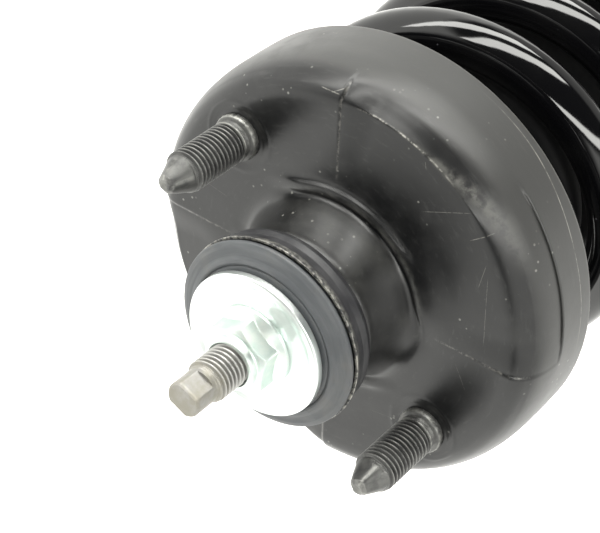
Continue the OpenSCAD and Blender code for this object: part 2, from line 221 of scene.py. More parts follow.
class Graph:
    def __init__(self, name):
        self.mat = bpy.data.materials.new(name)
        self.mat.use_nodes = True
        self.nt = self.mat.node_tree
        self.nt.nodes.clear()
        self.out = self.nt.nodes.new("ShaderNodeOutputMaterial")
        self.bsdf = self.nt.nodes.new("ShaderNodeBsdfPrincipled")
        self.nt.links.new(self.bsdf.outputs[0], self.out.inputs[0])
        self.obj = self.nt.nodes.new("ShaderNodeTexCoord").outputs["Object"]

    def put(self, socket, value):
        if isinstance(value, bpy.types.NodeSocket):
            self.nt.links.new(value, socket)
        else:
            socket.default_value = value

    def set(self, **kw):
        for k, v in kw.items():
            self.put(self.bsdf.inputs[k.replace("_", " ")], v)

    def math(self, op, a, b=None, c=None, clamp=False):
        n = self.nt.nodes.new("ShaderNodeMath")
        n.operation = op
        n.use_clamp = clamp
        self.put(n.inputs[0], a)
        if b is not None:
            self.put(n.inputs[1], b)
        if c is not None:
            self.put(n.inputs[2], c)
        return n.outputs[0]

    def vmath(self, op, a, b=None, scale=None):
        n = self.nt.nodes.new("ShaderNodeVectorMath")
        n.operation = op
        self.put(n.inputs[0], a)
        if b is not None:
            self.put(n.inputs[1], b)
        if scale is not None:
            self.put(n.inputs["Scale"], scale)
        return n.outputs["Value"] if op in ("LENGTH", "DOT_PRODUCT", "DISTANCE") else n.outputs[0]

    def xyz(self, vec=None):
        n = self.nt.nodes.new("ShaderNodeSeparateXYZ")
        self.put(n.inputs[0], self.obj if vec is None else vec)
        return n.outputs[0], n.outputs[1], n.outputs[2]

    def join_xyz(self, x, y, z):
        n = self.nt.nodes.new("ShaderNodeCombineXYZ")
        for s, v in zip(n.inputs, (x, y, z)):
            self.put(s, v)
        return n.outputs[0]

    def polar(self):
        """(azimuth in radians, radius in m, height in m) of the shaded point."""
        x, y, z = self.xyz()
        r = self.math("SQRT", self.math("ADD", self.math("MULTIPLY", x, x), self.math("MULTIPLY", y, y)))
        return self.math("ARCTAN2", y, x), r, z

    def noise(self, scale, detail=3, rough=0.55, vec=None, distortion=0.0):
        n = self.nt.nodes.new("ShaderNodeTexNoise")
        self.put(n.inputs["Vector"], self.obj if vec is None else vec)
        n.inputs["Scale"].default_value = scale
        n.inputs["Detail"].default_value = detail
        n.inputs["Roughness"].default_value = rough
        n.inputs["Distortion"].default_value = distortion
        return n.outputs[0]

    def voronoi(self, scale, feature="F1", vec=None):
        n = self.nt.nodes.new("ShaderNodeTexVoronoi")
        n.feature = feature
        self.put(n.inputs["Vector"], self.obj if vec is None else vec)
        n.inputs["Scale"].default_value = scale
        return n.outputs["Distance"]

    def attr(self, name):
        n = self.nt.nodes.new("ShaderNodeAttribute")
        n.attribute_name = name
        return n.outputs["Fac"]

    def step(self, x, lo, hi, a=0.0, b=1.0):
        """Smooth ramp of x from lo to hi onto a to b."""
        n = self.nt.nodes.new("ShaderNodeMapRange")
        n.interpolation_type = "SMOOTHSTEP"
        self.put(n.inputs["Value"], x)
        n.inputs["From Min"].default_value = lo
        n.inputs["From Max"].default_value = hi
        n.inputs["To Min"].default_value = a
        n.inputs["To Max"].default_value = b
        return n.outputs[0]

    def band(self, x, mid, half, soft=None):
        """1 near mid, falling to 0 at half away."""
        d = self.math("ABSOLUTE", self.math("SUBTRACT", x, mid))
        return self.step(d, half * (0.35 if soft is None else soft), half, 1.0, 0.0)

    def mul(self, *xs):
        out = xs[0]
        for x in xs[1:]:
            out = self.math("MULTIPLY", out, x)
        return out

    def add(self, *xs):
        out = xs[0]
        for x in xs[1:]:
            out = self.math("ADD", out, x)
        return out

    def top(self, *xs):
        out = xs[0]
        for x in xs[1:]:
            out = self.math("MAXIMUM", out, x)
        return out

    def colour(self, fac, a, b):
        n = self.nt.nodes.new("ShaderNodeMix")
        n.data_type = "RGBA"
        self.put(n.inputs[0], fac)
        for s, v in ((n.inputs[6], a), (n.inputs[7], b)):
            self.put(s, (*v, 1.0) if isinstance(v, tuple) and len(v) == 3 else v)
        return n.outputs[2]

    def bump(self, height, strength, distance, normal=None):
        n = self.nt.nodes.new("ShaderNodeBump")
        self.put(n.inputs["Height"], height)
        n.inputs["Strength"].default_value = strength
        n.inputs["Distance"].default_value = distance
        if normal is not None:
            self.put(n.inputs["Normal"], normal)
        return n.outputs[0]

    def scratch(self, p, q, width, vec=None):
        """A thin line on the surface from p to q (mm), faded at its ends."""
        p, q = np.array(p, float) * MM, np.array(q, float) * MM
        d = q - p
        length = float(np.linalg.norm(d))
        d = d / length
        rel = self.vmath("SUBTRACT", self.obj if vec is None else vec, tuple(p))
        t = self.vmath("DOT_PRODUCT", rel, tuple(d))
        foot = self.vmath("SCALE", tuple(d), scale=t)
        off = self.vmath("LENGTH", self.vmath("SUBTRACT", rel, foot))
        line = self.step(off, width * MM * 0.3, width * MM, 1.0, 0.0)
        mid = self.math("ABSOLUTE", self.math("SUBTRACT", t, length / 2))
        ends = self.step(mid, length * 0.35, length * 0.5, 1.0, 0.0)
        return self.mul(line, ends)


def coat_graph(name, base=(0.028, 0.029, 0.030), rough=0.4, peel=0.06, dust=0.25):
    """Satin black paint on steel, with orange peel, dust and light rubbing."""
    g = Graph(name)
    big = g.noise(28, 4, 0.6)
    mid = g.noise(190, 4, 0.6)
    fine = g.noise(1500, 3, 0.6)
    speck = g.step(g.noise(900, 2, 0.5), 0.70, 0.76)
    rub_and_sheen = g.mul(g.step(big, 0.45, 0.75), g.step(mid, 0.4, 0.7))
    light = tuple(min(1.0, c * 2.1 + 0.012) for c in base)
    col = g.colour(g.math("MULTIPLY", rub_and_sheen, dust), base, light)
    col = g.colour(g.math("MULTIPLY", speck, 0.35), col, (0.19, 0.19, 0.18))
    g.set(
        Base_Color=col,
        Roughness=g.math("ADD", g.math("MULTIPLY_ADD", rub_and_sheen, 0.10, rough - 0.04), g.math("MULTIPLY", mid, 0.08)),
        Normal=g.bump(g.add(fine, g.math("MULTIPLY", mid, 2.0)), peel, 0.00012),
    )
    return g


# ------------------------------------------------------------- materials

# mount plate
g = Graph("plate_black_coat")
az, rad, zed = g.polar()
wear_and_sheen, painted_sheen, low = g.attr("wear_and_sheen"), g.attr("painted_sheen"), g.attr("skirt")
big = g.noise(26, 4, 0.6)
mid = g.noise(170, 4, 0.62)
fine = g.noise(1300, 3, 0.6)
grain = g.noise(3800, 2, 0.5)
streak = g.noise(900, 3, 0.6, vec=g.join_xyz(g.math("MULTIPLY", az, 0.012), rad, zed))
cloud = g.mul(g.step(big, 0.42, 0.72), g.step(mid, 0.38, 0.68))
# the neck barrel is painted lighter than the plate's faces: painted light on its upright wall
neck = g.mul(g.step(zed, 0.0011, 0.0026), g.step(rad, 0.0236, 0.0226))
col = g.colour(g.math("MULTIPLY", cloud, 0.7), (0.0030, 0.0031, 0.0034), (0.015, 0.015, 0.0148))
col = g.colour(neck, col, g.colour(cloud, (0.008, 0.008, 0.008), (0.022, 0.022, 0.020)))
# the skirt is painted lighter: partly dust, partly painted light on its upright wall
col = g.colour(low, col, (0.032, 0.032, 0.031))
col = g.colour(g.math("MULTIPLY", g.step(streak, 0.55, 0.75), 0.18), col, (0.06, 0.06, 0.058))
specks = g.mul(g.step(g.voronoi(430), 0.16, 0.08), g.step(g.noise(60, 3, 0.6), 0.52, 0.62))
col = g.colour(g.math("MULTIPLY", specks, 0.6), col, (0.22, 0.22, 0.20))
# painted highlight on the bead's crest and the plateau's edge, broken up by noise and lightened in colour
rub_and_sheen = g.mul(painted_sheen, g.step(g.noise(420, 4, 0.65), 0.30, 0.62))
col = g.colour(g.math("MULTIPLY", rub_and_sheen, 0.85), col, (0.10, 0.099, 0.090))
marks = [
    ((38.8, -28.6), (35.2, -32.4), 0.14, 0.7), ((36.6, -30.6), (35.8, -33.6), 0.12, 0.6),
    ((6.0, -34.6), (0.6, -46.4), 0.10, 0.40), ((-4.1, -41.6), (-5.2, -47.6), 0.12, 0.55),
    ((-14.1, -36.8), (-10.2, -42.2), 0.10, 0.30), ((-26.4, -29.0), (-12.5, -40.9), 0.10, 0.30),
    ((14.7, -42.7), (12.7, -41.5), 0.10, 0.35), ((-30.0, 12.0), (-36.0, 4.0), 0.10, 0.18),
    ((28.0, 14.0), (34.0, 18.0), 0.10, 0.18), ((6.8, -50.0), (7.6, -53.0), 0.12, 0.35),
    ((-34.0, -18.0), (-27.0, -20.0), 0.10, 0.22),
]
flat_obj = g.vmath("MULTIPLY", g.obj, (1.0, 1.0, 0.0))
lines = None
for p, q, width, amount in marks:
    one = g.math("MULTIPLY", g.scratch((*p, 0), (*q, 0), width, flat_obj), amount)
    lines = one if lines is None else g.math("MAXIMUM", lines, one)
lines = g.mul(lines, g.step(zed, -0.0052, -0.0042), g.step(fine, 0.30, 0.55))
# fine worn line just above the skirt's edge
rim_z = g.step(az, math.radians(-80), math.radians(-115), -0.0217, -0.0197)
rim_off = g.math("ABSOLUTE", g.math("SUBTRACT", zed, rim_z))
rim_on = g.mul(g.step(az, math.radians(-66), math.radians(-84)), g.step(az, math.radians(-142), math.radians(-126)), g.step(rad, 0.0505, 0.0510))
rim_line = g.mul(g.step(rim_off, 0.00017, 0.00006), rim_on, g.step(g.noise(330, 4, 0.7), 0.30, 0.60))
lip = g.mul(g.step(zed, -0.02355, -0.02385), g.step(rad, 0.0505, 0.0510), g.step(fine, 0.35, 0.6))
chip = g.top(g.mul(wear_and_sheen, g.step(g.noise(620, 4, 0.7), 0.42, 0.62)), g.math("MULTIPLY", lines, 0.6), g.math("MULTIPLY", rim_line, 0.55), g.math("MULTIPLY", lip, 0.35))
col = g.colour(chip, col, (0.34, 0.33, 0.30))
g.set(
    Base_Color=col,
    Metallic=g.math("MULTIPLY", chip, 0.3),
    Roughness=g.add(
        g.math("MULTIPLY_ADD", cloud, 0.08, 0.27),
        g.math("MULTIPLY", mid, 0.07),
        g.math("MULTIPLY", low, 0.12),
        g.math("MULTIPLY", rub_and_sheen, 0.12),
        g.math("MULTIPLY", neck, 0.05),
    ),
    Normal=g.bump(
        g.add(g.math("MULTIPLY", fine, 0.6), g.math("MULTIPLY", mid, 3.0), g.math("MULTIPLY", grain, 0.25)),
        0.10,
        0.00012,
    ),
)
mat_plate = g.mat

# studs: phosphated steel, bare where rubbed
g = Graph("stud_phosphate")
x, y, z = g.xyz()
wear_and_sheen = g.attr("wear_and_sheen")
n1, n2, n3 = g.noise(420, 4, 0.6), g.noise(1700, 3, 0.6), g.noise(120, 3, 0.6)
rub_and_sheen = g.mul(wear_and_sheen, g.step(n1, 0.30, 0.60))
col = g.colour(g.step(n3, 0.35, 0.7), (0.038, 0.038, 0.038), (0.082, 0.082, 0.080))
col = g.colour(rub_and_sheen, col, (0.32, 0.32, 0.30))
g.set(
    Base_Color=col,
    Metallic=g.math("MULTIPLY_ADD", rub_and_sheen, 0.35, 0.5),
    Roughness=g.math("MULTIPLY_ADD", n1, 0.16, 0.36),
    Normal=g.bump(g.add(n2, g.math("MULTIPLY", n1, 1.5)), 0.16, 0.00012),
)
mat_stud = g.mat

# rubber
g = Graph("rubber_blue_grey")
az, rad, zed = g.polar()
n1, n2 = g.noise(95, 4, 0.6), g.noise(1100, 3, 0.6)
ring_vec = g.join_xyz(g.math("MULTIPLY", az, 0.003), rad, zed)
rings = g.noise(620, 3, 0.6, vec=ring_vec)
col = g.colour(g.step(rings, 0.35, 0.7), (0.046, 0.050, 0.055), (0.070, 0.074, 0.078))
col = g.colour(g.math("MULTIPLY", g.step(n1, 0.5, 0.75), 0.5), col, (0.092, 0.088, 0.080))
g.set(
    Base_Color=col,
    Roughness=g.math("MULTIPLY_ADD", n1, 0.16, 0.46),
    Normal=g.bump(g.add(n2, g.math("MULTIPLY", rings, 2.0)), 0.10, 0.00012),
)
mat_bush = g.mat


def rubber(name, base, light, rough=0.55, spec=0.5):
    g = Graph(name)
    n1, n2 = g.noise(110, 4, 0.6), g.noise(1400, 3, 0.6)
    g.set(
        Base_Color=g.colour(g.step(n1, 0.4, 0.72), base, light),
        Roughness=g.math("MULTIPLY_ADD", n1, 0.18, rough - 0.08),
        Specular_IOR_Level=spec,
        Normal=g.bump(n2, 0.12, 0.0001),
    )
    return g.mat


mat_rubber = rubber("rubber_black", (0.020, 0.020, 0.021), (0.040, 0.040, 0.040))
mat_boot = rubber("boot_black", (0.0025, 0.0025, 0.003), (0.006, 0.006, 0.006), 0.6, 0.15)

# zinc plate
g = Graph("zinc_bright")
az, rad, zed = g.polar()
n1, n2 = g.noise(70, 4, 0.6), g.noise(900, 3, 0.6)
turn = g.noise(1500, 2, 0.6, vec=g.join_xyz(g.math("MULTIPLY", az, 0.0015), rad, zed))
col = g.colour(g.step(n1, 0.35, 0.7), (0.80, 0.83, 0.82), (0.74, 0.80, 0.78))
g.set(
    Base_Color=col,
    Metallic=1.0,
    Roughness=g.math("MULTIPLY_ADD", n1, 0.12, 0.28),
    Normal=g.bump(g.add(g.math("MULTIPLY", turn, 1.0), g.math("MULTIPLY", n2, 0.4)), 0.05, 0.0001),
)
mat_zinc = g.mat

g = Graph("zinc_passivated")
az, rad, zed = g.polar()
n1, n2, n3 = g.noise(240, 4, 0.65), g.noise(1500, 3, 0.6), g.noise(130, 3, 0.6, distortion=0.8)
col = g.colour(g.step(n1, 0.35, 0.68), (0.58, 0.66, 0.63), (0.70, 0.74, 0.70))
col = g.colour(g.math("MULTIPLY", g.step(n3, 0.52, 0.72), 0.45), col, (0.52, 0.70, 0.61))
g.set(
    Base_Color=col,
    Metallic=1.0,
    Roughness=g.math("MULTIPLY_ADD", n1, 0.16, 0.32),
    Normal=g.bump(g.add(n1, g.math("MULTIPLY", n2, 0.5)), 0.08, 0.0001),
)
mat_nut = g.mat

# spring paint
g = Graph("spring_gloss_black")
n1, n2 = g.noise(60, 3, 0.5), g.noise(480, 3, 0.55)
specks = g.mul(g.step(g.voronoi(380), 0.11, 0.05), g.step(g.noise(45, 2, 0.5), 0.52, 0.60))
col = g.colour(g.step(n1, 0.4, 0.7), (0.0022, 0.0022, 0.0026), (0.0040, 0.0040, 0.0042))
col = g.colour(g.math("MULTIPLY", specks, 0.3), col, (0.20, 0.20, 0.22))
g.set(
    Base_Color=col,
    IOR=1.56,
    Roughness=g.math("MULTIPLY_ADD", n2, 0.05, 0.045),
    Normal=g.bump(g.add(n1, g.math("MULTIPLY", n2, 0.25)), 0.02, 0.0005),
)
mat_spring = g.mat

# chrome rod with a stained steel end
g = Graph("rod_chrome_and_steel")
x, y, z = g.xyz()
wear_and_sheen = g.attr("wear_and_sheen")
end = g.step(z, -0.0096, -0.0081)
n1, n2, n3 = g.noise(300, 4, 0.6), g.noise(1500, 3, 0.6), g.noise(210, 4, 0.65)
stain = g.mul(g.step(n3, 0.30, 0.60), g.step(z, 0.0405, 0.0440))
col = g.colour(end, (0.62, 0.63, 0.64), (0.30, 0.295, 0.285))
col = g.colour(g.math("MULTIPLY", stain, 0.85), col, (0.215, 0.203, 0.165))
col = g.colour(g.math("MULTIPLY", wear_and_sheen, 0.6), col, (0.50, 0.50, 0.48))
g.set(
    Base_Color=col,
    Metallic=g.math("MULTIPLY_ADD", stain, -0.45, 1.0),
    Roughness=g.add(g.math("MULTIPLY", stain, 0.12), g.math("MULTIPLY_ADD", end, 0.28, 0.07), g.math("MULTIPLY", g.mul(end, n1), 0.18)),
    Normal=g.bump(g.mul(end, g.add(n2, g.math("MULTIPLY", n1, 2.0))), 0.12, 0.00012),
)
mat_rod = g.mat

# cup of the bush stack, its lip rubbed bright, with painted highlight on its bend and on the lip's camera side
g = Graph("cup_black_coat")
wear_and_sheen = g.attr("wear_and_sheen")
az, rad, zed = g.polar()
n1, n2, n3 = g.noise(160, 4, 0.62), g.noise(1400, 3, 0.6), g.noise(800, 4, 0.7)
turn = g.noise(1100, 3, 0.6, vec=g.join_xyz(g.math("MULTIPLY", az, 0.004), rad, zed))
# bare metal where the lip is rubbed, plus painted highlight on the bend and on the lip's camera side
rub_and_sheen = g.mul(wear_and_sheen, g.step(n3, 0.42, 0.60), g.step(g.noise(150, 3, 0.6), 0.36, 0.58, 0.35, 1.0))
col = g.colour(g.step(n1, 0.4, 0.7), (0.019, 0.019, 0.021), (0.036, 0.036, 0.038))
col = g.colour(g.math("MULTIPLY", g.step(turn, 0.58, 0.78), 0.4), col, (0.09, 0.09, 0.09))
col = g.colour(rub_and_sheen, col, (0.40, 0.39, 0.35))
g.set(
    Base_Color=col,
    Metallic=g.math("MULTIPLY", rub_and_sheen, 0.55),
    Roughness=g.math("MULTIPLY_ADD", n1, 0.14, 0.30),
    Normal=g.bump(g.add(n2, g.math("MULTIPLY", n1, 2.0)), 0.10, 0.00012),
)
mat_cup = g.mat

mat_coat = coat_graph("black_coat").mat
mat_tube = coat_graph("tube_black_coat", (0.020, 0.020, 0.021), 0.30, 0.04, 0.2).mat


def metal(name, a, b, rough, metallic=1.0, scale=260):
    g = Graph(name)
    n1, n2 = g.noise(scale, 4, 0.6), g.noise(1400, 3, 0.6)
    g.set(
        Base_Color=g.colour(g.step(n1, 0.35, 0.7), a, b),
        Metallic=metallic,
        Roughness=g.math("MULTIPLY_ADD", n1, 0.14, rough),
        Normal=g.bump(n2, 0.08, 0.0001),
    )
    return g.mat


mat_steel = metal("machined_steel", (0.48, 0.49, 0.50), (0.56, 0.57, 0.57), 0.22)
mat_sinter = metal("sintered_iron", (0.20, 0.20, 0.19), (0.30, 0.29, 0.28), 0.45, 0.9, 900)
mat_liner = metal("liner_bronze", (0.30, 0.22, 0.12), (0.40, 0.30, 0.17), 0.38, 0.8)
g = Graph("foam_ochre")
n1, n2 = g.noise(140, 4, 0.6), g.voronoi(900)
g.set(
    Base_Color=g.colour(g.step(n1, 0.35, 0.7), (0.52, 0.43, 0.17), (0.62, 0.53, 0.24)),
    Roughness=g.math("MULTIPLY_ADD", n1, 0.2, 0.62),
    Normal=g.bump(n2, 0.25, 0.0002),
)
mat_foam = g.mat

# ------------------------------------------------------------ mount plate

A = 960
az = np.arange(A) / A * TAU
azd = np.degrees(az)


def ang_dist(a, b):
    return (a - b + 180) % 360 - 180


# weight of the sloped sectors between the stud pads, and of the bead at the neck
w = np.zeros(A)
for a0, a1 in ((43.5, 136.0), (222.0, 317.0)):
    mid_a, half_a = (a0 + a1) / 2, (a1 - a0) / 2
    d = np.abs(ang_dist(azd, mid_a))
    w = np.maximum(w, 0.25 * smooth(d, half_a + 0.25, half_a - 0.8) + 0.75 * smooth(d, half_a, half_a - 11))
wb = np.zeros(A)
for mid_a in (-72.0, 108.0):
    wb = np.maximum(wb, smooth(np.abs(ang_dist(azd, mid_a)), 74, 46))

common = [(12.6, 13.9), (16.6, 13.9), (18.2, 13.6), (19.0, 12.6), (19.25, 11.0)]
pad = common + [
    (19.6, 8.6), (20.2, 6.0), (21.0, 3.9), (22.0, 2.15), (23.0, 1.10), (24.2, 0.42),
    (25.4, 0.12), (26.8, 0.0), (29.0, 0.0), (32.0, 0.0), (36.0, 0.0), (40.0, 0.0),
    (43.0, 0.0), (45.0, -0.05), (46.6, -0.32), (47.9, -0.95), (48.9, -1.75),
    (49.7, -2.8), (50.5, -4.25), (51.15, -6.2), (51.6, -8.8), (51.83, -11.8),
    (51.84, -15.5), (51.82, -19.6), (51.72, -23.2),
]
sec = common + [
    (19.75, 8.6), (20.4, 6.2), (21.05, 4.1), (21.5, 2.5), (21.9, 1.25), (22.5, 0.82),
    (23.6, 1.22), (24.9, 1.0), (26.2, 0.10), (30.0, 0.0), (34.0, -0.26), (38.5, -0.70),
    (42.5, -1.06), (44.9, -1.28), (46.0, -1.38), (46.5, -1.74), (47.6, -2.74),
    (48.95, -3.88), (50.1, -5.02), (50.9, -6.6), (51.45, -8.8), (51.83, -11.8),
    (51.84, -15.5), (51.82, -19.6), (51.72, -23.2),
]
per = [2, 3, 4, 4] + [5] * 9 + [6, 8, 8, 8, 6] + [6] * 8 + [4, 4, 4]
assert len(per) == len(pad) - 1 == len(sec) - 1
P_pad, P_sec = flow(pad, per), flow(sec, per)
share = smooth(np.arange(len(P_pad)), sum(per[:13]), sum(per[:16]))[:, None]
wi = wb[None, :] * (1 - share) + w[None, :] * share
# the sector's edge is crisp from its crease to about -90 degrees, then it rolls over softly
P_soft = P_sec.copy()
for i in range(sum(per[:11]), len(P_sec) - 13):
    P_soft[i] = P_sec[i - 12 : i + 13].mean(0)
soft_az = (smooth(azd - 360.0, -84, -102) * (azd > 180))[None, :, None]
P_az = P_sec[:, None, :] * (1 - soft_az) + P_soft[:, None, :] * soft_az
outer = P_pad[:, None, :] * (1 - wi)[..., None] + P_az * wi[..., None]
R, Z = outer[..., 0], outer[..., 1]
# faint pressed rings round the studs
for sx in (38.5, -38.5):
    dx, dy = R * np.cos(az) - sx, R * np.sin(az)
    ds = np.hypot(dx, dy)
    Z = Z + 0.10 * np.exp(-(((ds - 8.3) / 0.45) ** 2)) * (np.abs(R - 38) < 9)
    Z = Z - 0.10 * np.exp(-(((ds - 6.4) / 0.5) ** 2)) * (np.abs(R - 38) < 9)
# slight press waviness
Z = Z + (0.05 * wobble(az, 5, 1.0)[None, :]) * smooth(R, 26, 34) * (R < 50)
t = 2.8
tail = np.array([(51.69, -23.75), (51.5, -24.02), (51.0, -24.1), (49.2, -24.1), (48.85, -23.95)])
inner = flow(
    [
        (48.8, -23.6), (48.95, -19.0), (49.0, -12.6), (48.75, -9.4), (48.1, -7.0),
        (47.1, -5.0), (45.9, -3.5), (44.2, -2.85), (41.0, -2.8), (36.0, -2.8), (30.0, -2.8),
        (25.6, -2.7), (22.6, -2.2), (19.9, -0.8), (17.9, 2.6), (16.9, 5.4),
        (16.5, 9.0), (16.0, 10.9), (12.6, 11.1),
    ],
    4,
)


def turn_fixed(prof):
    prof = np.asarray(prof, float)
    return np.repeat(prof[:, None, 0], A, 1), np.repeat(prof[:, None, 1], A, 1)


R2, Z2 = turn_fixed(tail)
R3, Z3 = turn_fixed(inner)
RR, ZZ = np.vstack([R, R2, R3]), np.vstack([Z, Z2, Z3])
rows = np.stack([RR * np.cos(az), RR * np.sin(az), ZZ], -1)
# wear: plateau edge of the sectors, creases, shoulder and skirt edge
azg = np.repeat(azd[None, :], len(RR), 0)
front = smooth(np.abs(ang_dist(azg, -92)), 62, 30)
wiv = np.vstack([wi, np.repeat(w[None, :], len(RR) - len(wi), 0)])
top_side = (ZZ > -5.0) & (RR > 26)
edge_line = np.exp(-(((RR - 46.25) / 0.14) ** 2)) * w[None, :] * smooth(np.abs(ang_dist(azg, -64)), 20, 8) * top_side * 0.8
crease = np.zeros_like(RR)
for a0 in (43.9, 135.6, 222.4, 316.6):
    arc = np.abs(ang_dist(azg, a0)) * RR * math.pi / 180
    crease = np.maximum(crease, np.exp(-((arc / 0.22) ** 2)) * smooth(RR, 27, 30) * (RR < 50) * top_side * 0.30)
wear_and_sheen = np.clip(np.maximum(edge_line, crease), 0, 1)
# painted highlight: crest of the bead, outer part of the plateau, shoulder
bead = np.exp(-(((RR - 24.0) / 0.55) ** 2)) * wiv * (ZZ > 0.2) * (ZZ < 2)
path_r = np.interp(azd - 360.0, [-110, -103, -95, -88, -84, -79, -69, -60], [49.7, 49.5, 48.9, 48.3, 47.7, 46.9, 46.3, 46.2])
path_s = np.interp(azd - 360.0, [-106, -95, -84, -74, -64], [1.0, 1.3, 1.1, 0.6, 0.35])
path_k = np.interp(azd - 360.0, [-110, -102, -95, -84, -74, -64, -58], [0.0, 0.35, 0.8, 1.0, 0.7, 0.45, 0.0])
plateau = np.exp(-(((RR - path_r[None, :]) / path_s[None, :]) ** 2)) * path_k[None, :] * (ZZ > -7)
# skirt mask, painted lighter in the material: partly dust, partly painted light
lowskirt = smooth(ZZ, -3.2, -7.5) * (RR > 49.5)
# painted highlight mask on the bead's crest and the plateau's edge, handed to the plate's material
painted_sheen = np.clip(bead * 0.35 + plateau * 0.8, 0, 1)
geo = rows_mesh(rows, loop=True)
piece(
    "mount_plate_visual", geo, "upper_mount", mat_plate, ("mount_plate",),
    sharp=None, attrs={"wear_and_sheen": wear_and_sheen.ravel(), "painted_sheen": painted_sheen.ravel(), "skirt": lowskirt.ravel()},
)

# ------------------------------------------------------------------ studs


def thread_profile(u):
    """0 at the root, 1 at the crest, for u in turns."""
    f = np.abs((u % 1.0) - 0.5) * 2
    return smooth(f, 0.14, 0.86)


def stud(cx, cy, seed, facets, roll):
    n = 112
    a = np.arange(n) / n * TAU
    zs = np.concatenate(
        [
            np.array([-5.8, -5.5, -3.2, -2.85, -2.8]),
            np.linspace(-2.7, 3.6, 50),
            np.linspace(3.66, 19.9, 274),
            np.linspace(20.0, 25.3, 60),
            np.array([25.36, 25.4]),
        ]
    )
    rng = np.random.default_rng(seed)
    rows, wears = [], []
    for z in zs:
        wz = np.zeros(n)
        if z < -3.0:
            r = np.full(n, 6.55 if z in (-5.5, -3.2) else 6.2)
        elif z < -2.75:
            r = np.full(n, 5.6)
        elif z <= 1.55:
            knurl = 0.10 * (np.abs(((a * 26 / TAU) % 1.0) - 0.5) * 2 - 0.5)
            base = 5.45 + 0.14 * smooth(z, 0.2, 0.6) * smooth(z, 1.6, 1.0)
            r = base + knurl * smooth(z, 1.6, 1.1)
            wz += 0.95 * smooth(z, 0.4, 0.8) * smooth(z, 1.7, 1.4) + 0.25
        elif z <= 4.0:
            r = np.full(n, 4.62 + 0.85 * smooth(z, 2.1, 1.5)) + 0.10 * np.sin(z * TAU / 0.42)
            r = r + 0.30 * np.exp(-(((z - 3.65) / 0.28) ** 2))
            wz += 0.20 + 0.5 * np.exp(-(((z - 3.6) / 0.3) ** 2))
        else:
            amp = smooth(z, 3.9, 4.9) * smooth(z, 19.9, 18.9)
            crest = thread_profile(z / 1.25 - a / TAU)
            base = 4.16 + 0.04 * np.sin(3 * a + seed)
            r = base + 0.76 * crest * amp
            wz = wz + 0.42 * smooth(crest, 0.80, 0.98) * amp
        if z > 18.9:
            k = np.clip((z - 19.2) / 6.2, 0, 1)
            cone = 4.45 - 2.55 * k**1.15
            # pinched faces left by rolling
            f = np.cos(facets * (a + roll)) * 0.5 + 0.5
            pinch = 1 - (0.06 if cx > 0 else 0.11) * np.sin(min(k * 1.25, 1.0) * math.pi * 0.62) * (1 - f) ** 1.4
            cone = cone * pinch
            r = np.minimum(r, cone) if z > 19.8 else r * (1 - smooth(z, 19.0, 19.8)) + cone * smooth(z, 19.0, 19.8)
            wz = 0.15 + 0.30 * smooth(f, 0.86, 1.0) * smooth(k, 0.05, 0.3)
        if z > 24.7:
            r = r * (1 - 0.26 * smooth(z, 24.7, 25.45)) + 0.05 * np.sin(7 * a + seed)
            wz = wz + 0.25
        rows.append(np.stack([cx + r * np.cos(a), cy + r * np.sin(a), np.full(n, z)], -1))
        wears.append(np.clip(wz, 0, 1))
    # hollow end
    for rr, z in ((0.85, 25.38), (0.62, 25.2), (0.3, 25.12)):
        rows.append(np.stack([cx + rr * np.cos(a), cy + rr * np.sin(a), np.full(n, z)], -1))
        wears.append(np.full(n, 0.5))
    v, f = rows_mesh(rows, start=(cx, cy, -5.8), end=(cx, cy, 25.1))
    return v, f, np.concatenate([np.concatenate(wears), [0.1, 0.3]])


for i, (cx, seed, facets, roll) in enumerate(((38.5, 3, 4, 0.5), (-38.5, 8, 4, 1.1))):
    v, f, wr = stud(cx, 0.0, seed, facets, roll)
    piece(
        f"mount_stud_{i + 1}", (v, f), "upper_mount", mat_stud,
        ("mount_studs",) if i == 0 else (), sharp=50, attrs={"wear_and_sheen": wr},
    )

# ------------------------------------------------------------- bush stack

prof = rounded(
    [
        (12.6, 13.9), (19.3, 13.9, 1.2), (20.9, 14.88, 0.8), (21.75, 16.54, 0.9),
        (21.6, 18.39, 1.2), (21.9, 20.15, 0.8), (22.75, 21.91, 0.25), (22.8, 22.3, 0.12),
        (22.2, 22.3, 0.12), (21.0, 20.64, 0.8), (20.3, 18.39, 1.0), (20.2, 16.73, 0.8),
        (19.2, 15.46, 0.8), (12.6, 15.46),
    ],
    seg=7,
)
v, f = lathe(prof, 320)
r_v = np.hypot(v[:, 0], v[:, 1])
a_v = np.degrees(np.arctan2(v[:, 1], v[:, 0]))
# the lip's rubbing is made brighter on the side facing the camera: painted highlight
side = smooth(np.abs(ang_dist(a_v, -82)), 175, 60)
lip = np.exp(-(((v[:, 2] - 22.15) / 0.40) ** 2)) * (r_v > 21.8) * (0.55 + 0.45 * side)
# painted highlight on the cup's convex bend below the lip, on one side only
band = 0.50 * np.exp(-(((v[:, 2] - 20.6) / 0.5) ** 2)) * (r_v > 21.9) * smooth(np.abs(ang_dist(a_v, -48)), 28, 10)
piece(
    "bush_cup_visual", (v, f), "upper_mount", mat_cup, ("bush_cup",),
    sharp=None, attrs={"wear_and_sheen": np.clip(np.maximum(lip, band), 0, 1)},
)

prof = rounded(
    [
        (8.5, 15.5), (18.6, 15.5), (20.0, 17.1, 0.6), (20.6, 20.5, 0.8), (21.0, 21.9, 0.4),
        (21.7, 22.6, 0.3), (22.45, 23.1, 0.5), (22.6, 24, 0.7), (21.2, 24.7, 0.8),
        (19.6, 25.05, 0.5), (18.9, 25.45, 0.4), (18.2, 25.75, 0.2), (17.75, 25.65, 0.1),
        (17.45, 25.4, 0.1), (17.2, 25.6, 0.1), (16.8, 25.8), (8.5, 25.8),
    ],
    seg=6,
)
piece("upper_bush_visual", lathe(prof, 288), "upper_mount", mat_bush, ("upper_bush",), sharp=None)

